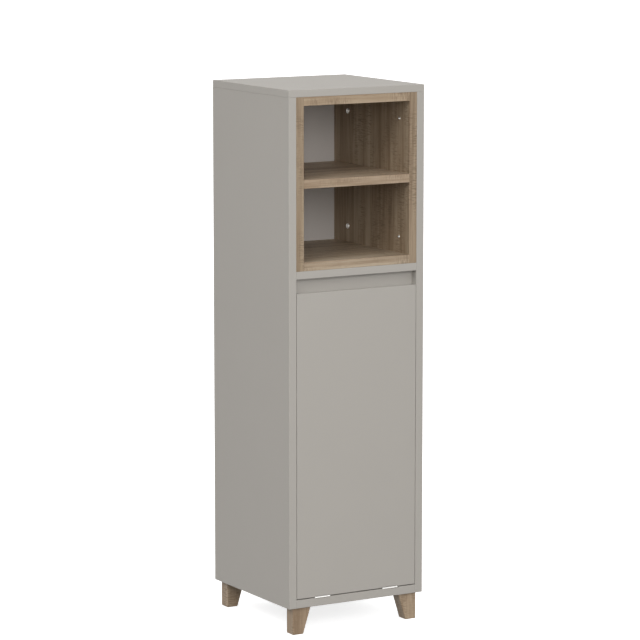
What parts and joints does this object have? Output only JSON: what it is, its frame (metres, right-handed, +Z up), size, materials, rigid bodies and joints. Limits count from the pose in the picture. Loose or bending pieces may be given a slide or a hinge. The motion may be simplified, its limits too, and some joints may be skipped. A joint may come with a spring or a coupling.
{
  "type": "bathroom cabinet with hamper",
  "caption": "Tall narrow bathroom cabinet on tapered legs, with an open oak-lined niche with a shelf above a bottom-hinged tilt-out hamper flap that carries a laundry bag.",
  "frame": {"origin": "on the floor under the middle of the cabinet", "axes": "+Z up, front towards -Y, +X to the right seen from the front"},
  "size_m": [0.35, 0.35, 1.227],
  "materials": {
    "grey_melamine": "pebble grey melamine-faced board, matt",
    "grey_hardboard": "grey lacquered hardboard, matt",
    "oak_laminate": "sonoma oak laminate, matt with fine grain",
    "leg_oak": "oak-look wood, satin",
    "beech": "bare beech",
    "bright_steel": "nickel plated",
    "zinc_steel": "zinc plated",
    "die_cast": "die-cast zinc, dull",
    "grey_plastic": "grey moulded plastic",
    "black_rubber": "black rubber",
    "ferrite": "sintered ferrite magnet",
    "white_wire": "white powder-coated steel wire",
    "cotton": "natural cotton canvas"
  },
  "bodies": {
    "carcass": {"top_panel": "grey_melamine", "side_panel_left": "grey_melamine", "side_panel_right": "grey_melamine", "bottom_panel": "grey_melamine", "divider_panel": "grey_melamine", "grip_rail": "grey_melamine", "back_panel": "grey_hardboard", "niche_top": "oak_laminate", "niche_bottom": "oak_laminate", "niche_shelf": "oak_laminate", "niche_side_left": "oak_laminate", "niche_side_right": "oak_laminate", "leg_front_left": "leg_oak", "leg_front_right": "leg_oak", "leg_rear_left": "leg_oak", "leg_rear_right": "leg_oak", "hinge_base_left": "bright_steel", "hinge_pin_left": "bright_steel", "stay_keeper_left": "grey_plastic", "catch_left": "grey_plastic", "hinge_base_right": "bright_steel", "hinge_pin_right": "bright_steel", "stay_keeper_right": "grey_plastic", "catch_right": "grey_plastic", "catch_magnets": "ferrite", "catch_poles": "zinc_steel", "hinge_base_screws": "zinc_steel", "keeper_screws": "zinc_steel", "catch_screws": "zinc_steel", "leg_screws": "zinc_steel", "confirmats": "zinc_steel", "cam_bolts": "zinc_steel", "niche_screws": "bright_steel", "niche_bolts": "bright_steel", "cam_locks": "die_cast", "dowels": "beech"},
    "door": {"door_panel": "grey_melamine", "hinge_arm_left": "bright_steel", "hinge_arm_right": "bright_steel", "stay_left": "zinc_steel", "stay_right": "zinc_steel", "stay_stops": "black_rubber", "bag_frame": "white_wire", "bag_bracket_left": "grey_plastic", "bag_bracket_right": "grey_plastic", "laundry_bag": "cotton", "strike_plates": "zinc_steel", "hinge_arm_screws": "zinc_steel", "stay_screws": "zinc_steel", "bracket_screws": "zinc_steel", "strike_screws": "zinc_steel"}
  },
  "joints": [
    {"name": "door_tilt", "type": "hinge", "parent": "carcass", "child": "door", "pos_m": [0, -0.1723, 0.0821], "axis": [1, 0, 0], "range_deg": [0, 35]}
  ]
}
